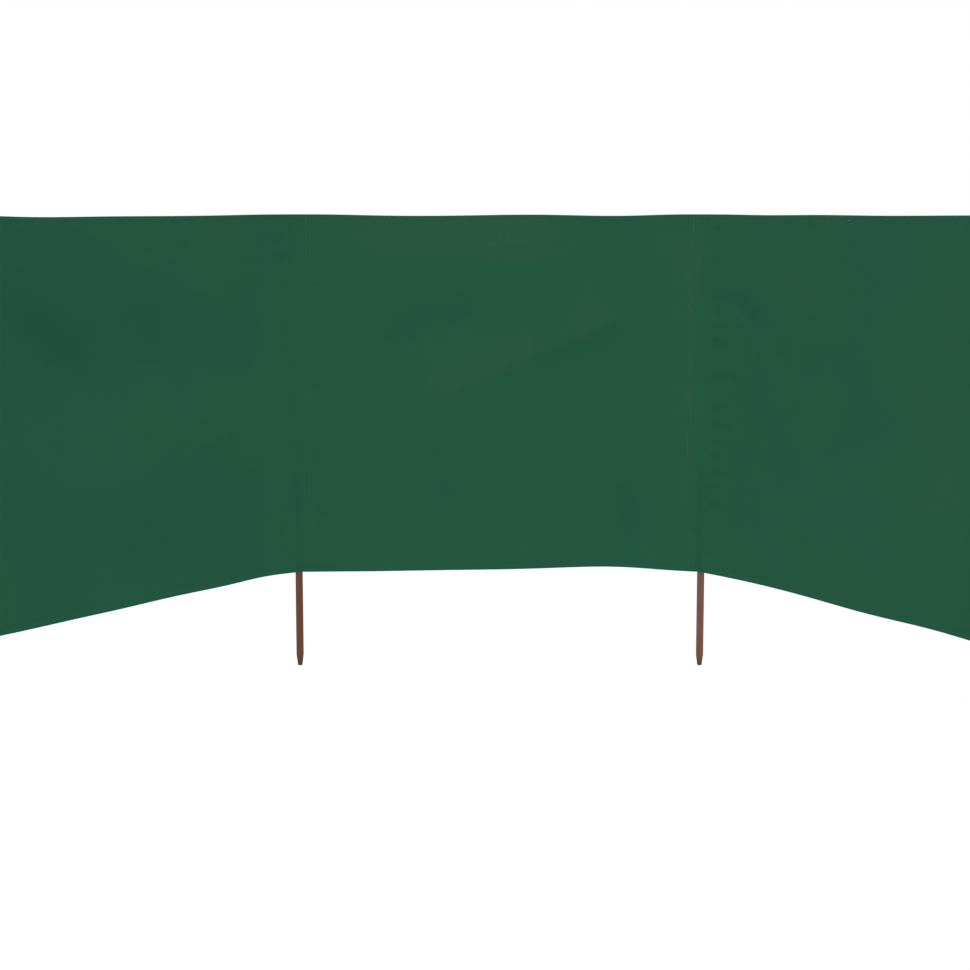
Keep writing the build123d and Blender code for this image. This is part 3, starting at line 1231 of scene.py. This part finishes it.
def emptied(owner: bpy.types.Material | bpy.types.World) -> Callable[..., bpy.types.Node]:
    """Clear the nodes of a material or a world.

    Args:
        owner: The material or the world.

    Returns:
        The function add_node for its tree.
    """
    owner.use_nodes = True
    owner.node_tree.nodes.clear()
    return partial(add_node, owner.node_tree)


def drawn_out(
    add: Callable[..., bpy.types.Node], place: object, per_metre: tuple, **sockets: float
) -> bpy.types.Node:
    """Noise with drawn-out cells, read at the place times their number in a metre each way."""
    scaled = add("VectorMath", (place, per_metre), operation="MULTIPLY")
    return add("TexNoise", {"Vector": scaled, "Scale": 1.0, **sockets})


@dataclass(frozen=True)
class ClothFinish:
    """Plain-woven polyester, dyed bottle green, with a thin coating on its back.

    The eye sees a matt cloth with a faint sheen at grazing angles, a fine even weave, slight
    streaks along the threads and slow random changes of tone. Over these lies painted light and shade
    along the folds, the hems and beside the posts.

    Attributes:
        colour: Colour of the cloth.
        pale: Its paler colour, for random changes of tone and for painted light along the folds.
        dark: Its darker colour, for random changes of tone and for painted shade along the folds and
            hems and where a post stands behind.
        sheen: Colour of its sheen.
        thread: Distance between drawn threads. The real 0.5 mm is too fine to show.
        streaks: Streaks in a metre along a thread and across it, so one is 110 mm by 4 mm. Those
            of real threads are too fine to show.
        clouds: Slow changes of tone in a metre.
    """

    colour: str = "#21553F"
    pale: str = "#2D5740"
    dark: str = "#1D513C"
    sheen: str = "#6FA588"
    thread: float = 1.5 * MM
    streaks: Pair = (9.0, 260.0)
    clouds: float = 2.6

    def build(self) -> bpy.types.Material:
        """Make the material.

        The weave is the product of a sine across each set of threads. The tone is the sum of the
        clouds, the streaks of both sets and the mesh's own tone, which holds painted light and shade,
        and goes from dark to pale.

        Returns:
            The material.
        """
        material = bpy.data.materials.new("woven_polyester_green")
        add = emptied(material)
        place, uv = add("TexCoord").outputs["Object"], add("UVMap", uv_map="cloth")
        turns = 2 * math.pi / self.thread
        scaled = add("VectorMath", (uv, (turns, turns, 0.0)), operation="MULTIPLY")
        parts = add("SeparateXYZ", (scaled,)).outputs
        warp, weft = (add("Math", (parts[axis],), operation="SINE") for axis in "XY")
        weave = add("Math", (warp, weft), operation="MULTIPLY")
        slow = add(
            "TexNoise", {"Vector": place, "Scale": self.clouds, "Detail": 3.0, "Roughness": 0.5}
        )
        streaks, ribs = (
            drawn_out(add, uv, (*pair, 0.0), Detail=2.0)
            for pair in (self.streaks, self.streaks[::-1])
        )
        fine = add("Math", (streaks, ribs), operation="ADD")
        # The mesh's tone, which holds painted light and shade along the folds, the hems and beside
        # the posts.
        total = add("Attribute", attribute_name="tone").outputs["Fac"]
        # Clouds move the tone by up to 0.35 each way, and streaks by up to 0.5.
        wide = add("MapRange", (slow, 0.3, 0.7, -0.35, 0.35))
        lines = add("MapRange", (fine, 0.6, 1.4, -0.5, 0.5))
        for part in (wide, lines):
            total = add("Math", (total, part), operation="ADD")
        colour = add("ValToRGB", (add("MapRange", (total, -1.5, 1.5, 0.0, 1.0)),))
        colour.color_ramp.elements.new(0.5)
        codes = (self.dark, self.colour, self.pale)
        for stop, code in zip(colour.color_ramp.elements, codes):
            stop.color = linear(code)
        height = add("Math", (weave, 0.5, fine), operation="MULTIPLY_ADD")
        bump = add("Bump", {"Height": height, "Strength": 0.35, "Distance": 0.12 * MM})
        shader = {
            "Base Color": colour,
            "Roughness": 0.72,
            "IOR": 1.5,
            "Specular IOR Level": 0.05,
            "Sheen Weight": 0.02,
            "Sheen Roughness": 0.5,
            "Sheen Tint": linear(self.sheen),
            "Normal": bump,
        }
        add("OutputMaterial", {"Surface": add("BsdfPrincipled", shader)})
        return material


@dataclass(frozen=True)
class ThreadFinish:
    """Spun polyester sewing thread, dyed a little paler than the cloth; the eye sees a soft gloss.

    Attributes:
        colour: Colour of the thread.
        shade: Colour between its fibres.
        spots: Changes between them in a metre, one every 6 mm. Those of the real thread, every
            0.1 mm, are too fine to show.
    """

    colour: str = "#2E6349"
    shade: str = "#22503A"
    spots: float = 160.0

    def build(self) -> bpy.types.Material:
        """Make the material: noise between the two colours, which also roughens the surface.

        Returns:
            The material.
        """
        material = bpy.data.materials.new("sewing_thread_green")
        add = emptied(material)
        place = add("TexCoord").outputs["Object"]
        spots = add("TexNoise", {"Vector": place, "Scale": self.spots, "Detail": 1.0})
        colour = add("ValToRGB", (spots,))
        for stop, code in zip(colour.color_ramp.elements, (self.shade, self.colour)):
            stop.color = linear(code)
        bump = add("Bump", {"Height": spots, "Strength": 0.3, "Distance": 0.1 * MM})
        shader = {"Base Color": colour, "Roughness": 0.55, "Normal": bump}
        add("OutputMaterial", {"Surface": add("BsdfPrincipled", shader)})
        return material


@dataclass(frozen=True)
class WoodFinish:
    """Hardwood dowel, turned on a lathe and stained red-brown.

    The eye sees long fine grain running up the post, darker pores, faint turning rings, a satin
    surface and a blunt tip that darkens towards its end. Some posts took the stain more deeply
    than others.

    Attributes:
        colour: Colour of the stained wood.
        light: Colour of its paler grain.
        deep: Colour of the posts that took most stain.
        deep_every: Distance along X over which the depth of the stain goes there and back.
        pore: Colour of its pores.
        tip: Colour that the tip darkens to at its blunt end.
        tip_length: Height of the tip above the blunt end.
        grain: Fibres in a metre along each axis: 2.4 mm across and 110 mm up.
        pores: Pores in a metre: 0.8 mm across and 17 mm up.
        bands: Growth bands in a metre: 11 mm across and 330 mm up.
        ring: Distance between the turning rings.
    """

    colour: str = "#654539"
    light: str = "#7A5644"
    deep: str = "#58301C"
    deep_every: float = 2.666
    pore: str = "#3B241A"
    tip: str = "#463D38"
    tip_length: float = 36 * MM
    grain: tuple[float, float, float] = (420.0, 420.0, 9.0)
    pores: tuple[float, float, float] = (1300.0, 1300.0, 60.0)
    bands: tuple[float, float, float] = (90.0, 90.0, 3.0)
    ring: float = 1.8 * MM

    def build(self) -> bpy.types.Material:
        """Make the material.

        Grain and bands together run from the wood's colour to its paler one. Over that come the
        deeper stain, by the cosine of the post's place along X, then the pores, then the tip.

        Returns:
            The material.
        """
        material = bpy.data.materials.new("stained_turned_wood")
        add = emptied(material)
        place = add("TexCoord").outputs["Object"]
        grain = drawn_out(add, place, self.grain, Detail=4.0, Distortion=0.4)
        pores, bands = (
            drawn_out(add, place, size, Detail=2.0) for size in (self.pores, self.bands)
        )
        mixed = add("Math", (bands, 0.9, grain), operation="MULTIPLY_ADD")
        colour = add("ValToRGB", (add("MapRange", (mixed, 0.6, 1.3, 0.0, 1.0)),))
        for stop, code in zip(colour.color_ramp.elements, (self.colour, self.light)):
            stop.color = linear(code)
        axes = add("SeparateXYZ", (place,)).outputs
        phase = add("Math", (axes["X"], 2 * math.pi / self.deep_every), operation="MULTIPLY")
        cosine = add("Math", (phase,), operation="COSINE")
        # Shares of the stain, the pores and the tip in the colour, at the most.
        deep = add("MapRange", (cosine, 1.0, -1.0, 0.0, 0.6))
        pitted = add("MapRange", (pores, 0.62, 0.75, 0.0, 0.6))
        end = add("MapRange", (axes["Z"], 0.15 * self.tip_length, self.tip_length, 0.85, 0.0))
        for share, code in ((deep, self.deep), (pitted, self.pore), (end, self.tip)):
            colour = add("Mix", {0: share, 6: colour, 7: linear(code)}, data_type="RGBA")
        rings = add("Math", (axes["Z"], 2 * math.pi / self.ring), operation="MULTIPLY")
        turning = add("Math", (rings,), operation="SINE")
        relief = add("Math", (turning, 0.12, grain), operation="MULTIPLY_ADD")
        shader = {
            "Base Color": colour,
            "Roughness": add("MapRange", (grain, 0.3, 0.7, 0.42, 0.58)),
            "Specular IOR Level": 0.25,
            "Coat Weight": 0.04,
            "Coat Roughness": 0.35,
            "Normal": add("Bump", {"Height": relief, "Strength": 0.4, "Distance": 0.2 * MM}),
        }
        add("OutputMaterial", {"Surface": add("BsdfPrincipled", shader)})
        return material


@dataclass(frozen=True)
class FloorFinish:
    """Matt white studio floor that keeps soft shadows and otherwise shows as white.

    Attributes:
        colour: Colour that it reflects.
        glow: Strength of its glow.
    """

    colour: str = "#959595"
    glow: float = 0.67

    def build(self) -> bpy.types.Material:
        """Make the material: a matt surface with a small glow that only the camera sees.

        Returns:
            The material.
        """
        material = bpy.data.materials.new("matt_white_floor")
        add = emptied(material)
        seen = add("LightPath").outputs["Is Camera Ray"]
        shader = {
            "Base Color": linear(self.colour),
            "Roughness": 0.9,
            "Specular IOR Level": 0.1,
            "Emission Color": WHITE,
            "Emission Strength": add("Math", (seen, self.glow), operation="MULTIPLY"),
        }
        add("OutputMaterial", {"Surface": add("BsdfPrincipled", shader)})
        return material


@dataclass
class Studio:
    """White floor, soft light all round, one lamp from the front left, and the camera.

    Attributes:
        place: Camera position.
        pitch: How far the camera looks down, in degrees.
        focal_pixels: Focal length in pixels of the image.
        centre_shift: How far the image is cut off its centre, in pixels, negative downwards.
        ambient: Strength of the even light that casts shadows.
        fill: Strength of the lamps in a ring all round, which cast none.
        fill_shares: Share of it that each has, from the camera's side round by the left. Only the
            three that the photograph's faces can't see differ, to show the folds from behind.
        fill_rise: Their elevation, in degrees.
        fill_width: Their width, in degrees of the sky.
        lamp: Strength of the soft lamp.
        lamp_from: Where it stands: degrees from the camera's side to the left, and elevation.
        lamp_width: Its width, in degrees of the sky.
        floor_reach: Half the floor's width.
        floor_below: How far it lies under the tips of the posts.
    """

    place: tuple[float, float, float] = (-0.716, -6.0, 1.511)
    pitch: float = 7.01
    focal_pixels: float = 1838.0
    centre_shift: float = -50.0
    ambient: float = 0.20
    fill: float = 0.585
    fill_shares: tuple[float, ...] = (1, 1, 1, 1, 1, 1.9, 1, 0.3, 1, 1, 1, 1)
    fill_rise: float = 22.0
    fill_width: float = 5.0
    lamp: float = 0.35
    lamp_from: Pair = (10.0, 42.0)
    lamp_width: float = 50.0
    floor_reach: float = 40.0
    floor_below: float = 1 * MM

    def camera(self) -> None:
        """Make the camera, level and looking along +Y."""
        data = bpy.data.cameras.new("camera")
        data.sensor_width = 36.0
        data.lens = self.focal_pixels / IMAGE_PIXELS * data.sensor_width
        data.shift_y = self.centre_shift / IMAGE_PIXELS
        data.clip_end = 200.0
        view = placed("camera", data)
        view.location = self.place
        view.rotation_euler = Euler((math.radians(90.0 - self.pitch), 0.0, 0.0))
        bpy.context.scene.camera = view

    def light(self) -> None:
        """Make the even light, the soft lamp and the ring of lamps."""
        world = bpy.data.worlds.new("daylight")
        add = emptied(world)
        path = add("LightPath").outputs
        rays = (path["Is Camera Ray"], path["Is Transmission Ray"])
        seen = add("Math", rays, operation="MAXIMUM")
        strength = add("MapRange", {"Value": seen, "To Min": self.ambient, "To Max": 1.0})
        sky = add("Background", {"Color": WHITE, "Strength": strength})
        add("OutputWorld", {"Surface": sky})
        bpy.context.scene.world = world
        self.sun("soft_lamp", self.lamp, *self.lamp_from, shadow=True)
        for number, share in enumerate(self.fill_shares):
            turn = 360.0 * number / len(self.fill_shares)
            name = f"fill_lamp_{number + 1}"
            self.sun(name, self.fill * share, turn, self.fill_rise, shadow=False)

    def sun(self, name: str, strength: float, left: float, up: float, shadow: bool) -> None:
        """Make one lamp far away: wide where it casts a shadow, narrow where it casts none.

        A wide lamp without a shadow would still leave the folds half dark, because Cycles finds
        part of its light by rays that the cloth stops.

        Args:
            name: Name of the lamp.
            strength: Light on a surface that faces it.
            left: Degrees from the camera's side round to the left.
            up: Elevation, in degrees.
            shadow: Whether it casts a shadow.
        """
        data = bpy.data.lights.new(name, "SUN")
        data.energy = strength
        data.angle = math.radians(self.lamp_width if shadow else self.fill_width)
        data.use_shadow = shadow
        turned = Euler((math.radians(90.0 - up), 0.0, -math.radians(left)))
        placed(name, data).rotation_euler = turned

    def floor(self) -> None:
        """Make the floor: one wide square just under the tips of the posts."""
        far, low = self.floor_reach, -self.floor_below
        corners = [(-far, -far, low), (far, -far, low), (far, far, low), (-far, far, low)]
        mesh = bpy.data.meshes.new("floor")
        mesh.from_pydata(corners, [], [(0, 1, 2, 3)])
        mesh.materials.append(FloorFinish().build())
        placed("floor", mesh)

    def build(self) -> None:
        """Make the whole studio."""
        self.camera()
        self.light()
        self.floor()
        bpy.context.scene.view_settings.view_transform = "Standard"


@dataclass
class Windbreak:
    """The whole windbreak, dressed.

    Attributes:
        cloth: The cloth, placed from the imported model.
        post_names: Names of the posts' CAD nodes, from left to right.
        cloth_finish: Finish of all cloth.
        thread_finish: Finish of the stitches.
        wood_finish: Finish of the posts.
        hem_end: Distance from a pocket's flange to the hem stitches behind.
        seam_inset: Distances of a pocket's two rows of stitches from its seam and its outer edge.
        seam_ends: Distances of those rows from the bottom and from the top of the cloth.
        samples: Samples of a row of stitches behind a hem and of one up a pocket.
    """

    cloth: Cloth
    post_names: list[str]
    cloth_finish: bpy.types.Material
    thread_finish: bpy.types.Material
    wood_finish: bpy.types.Material
    hem_end: float = 4 * MM
    seam_inset: Pair = (2 * MM, 2.5 * MM)
    seam_ends: Pair = (3 * MM, 6 * MM)
    samples: tuple[int, int] = (1200, 400)

    def hem_stitches(self, bay: int) -> bpy.types.Object:
        """Make the stitches along both hems of a bay.

        Args:
            bay: Number of the bay.

        Returns:
            The piece. In front its rows run the whole bay, and behind as far as the folded layers.
        """
        cloth, plan = self.cloth, self.cloth.plan
        stitches = Stitching(f"hem_stitches_{bay + 1}", self.thread_finish)
        line = plan.bay_line(bay)
        _, near, far, _ = cloth.ends(bay)
        inset = plan.flat_reach - plan.flange_reach - self.hem_end
        backs = line.at(np.linspace(near - inset, far + inset, self.samples[0]))
        for edge in Edge:
            hem = Hem(cloth, bay, edge, self.cloth_finish)
            front = -cloth.thickness / 2 + hem.dent
            for part, depth, facing in ((line, front, -1.0), (backs, hem.fold - hem.dent, 1.0)):
                height = cloth.edge(bay, edge, part) + edge.inward * hem.stitch
                points, back = cloth.surface(bay, part, height, depth)
                stitches.add_row(points, back * facing)
        return stitches.build()

    def pocket_stitches(self, post: int) -> bpy.types.Object:
        """Make the stitches up the flanges of a pocket.

        Args:
            post: Number of the post.

        Returns:
            The piece: two rows up each flange, on the front and on the back.
        """
        plan, cloth = self.cloth.plan, self.cloth
        stitches = Stitching(f"pocket_stitches_{post + 1}", self.thread_finish)
        low, high = cloth.hem_z + self.seam_ends[0], cloth.top_z - self.seam_ends[1]
        height = np.linspace(low, high, self.samples[1])
        inner, outer = plan.seam_reach + self.seam_inset[0], plan.flange_reach - self.seam_inset[1]
        faces = ((-cloth.thickness / 2, -1.0), (1.5 * cloth.thickness + Sleeve.gap, 1.0))
        for side in plan.sides(post):
            for reach in (inner, outer):
                bay, run = cloth.leg_run(post, side, reach)
                column = plan.bay_line(bay).at(np.full(len(height), run))
                for depth, facing in faces:
                    points, back = cloth.surface(bay, column, height, depth)
                    stitches.add_row(points, back * facing)
        return stitches.build()

    def dress_posts(self) -> None:
        """Give the turned posts their wood."""
        for name in self.post_names:
            materials = bpy.data.objects[name].data.materials
            materials.clear()
            materials.append(self.wood_finish)
            LOG.info("post %s dressed", name)

    def build(self) -> None:
        """Dress the posts and make every piece of cloth and thread."""
        self.dress_posts()
        cloth = self.cloth
        for bay in range(len(BAYS)):
            panel = Panel(cloth, bay, self.cloth_finish).build()
            hems = [Hem(cloth, bay, edge, self.cloth_finish).build() for edge in Edge]
            length = cloth.plan.bay_line(bay).length
            self.hem_stitches(bay)
            LOG.info("bay %d: cloth %.3f m long", bay + 1, length)
        for post, name in enumerate(self.post_names):
            sleeve = Sleeve(cloth, post, self.cloth_finish)
            width = float(sleeve.soft_line()[1][-1])
            sleeve.build()
            self.pocket_stitches(post)
            LOG.info("pocket %d: strip %.0f mm wide", post + 1, width / MM)


def main() -> None:
    """Build the studio and the windbreak in order."""
    logging.basicConfig(level=logging.INFO, format="%(message)s")
    Studio().build()
    names = [f"post_{number}" for number in range(1, len(BAYS) + 2)]
    axes = np.array([np.mean(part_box(name), axis=0)[:2] for name in names])
    low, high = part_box("sleeve_1")
    cloth = Cloth(Plan(axes), hem_z=low[2], top_z=high[2])
    finishes = [kind().build() for kind in (ClothFinish, ThreadFinish, WoodFinish)]
    Windbreak(cloth, names, *finishes).build()


if __name__ == "__main__":
    main()
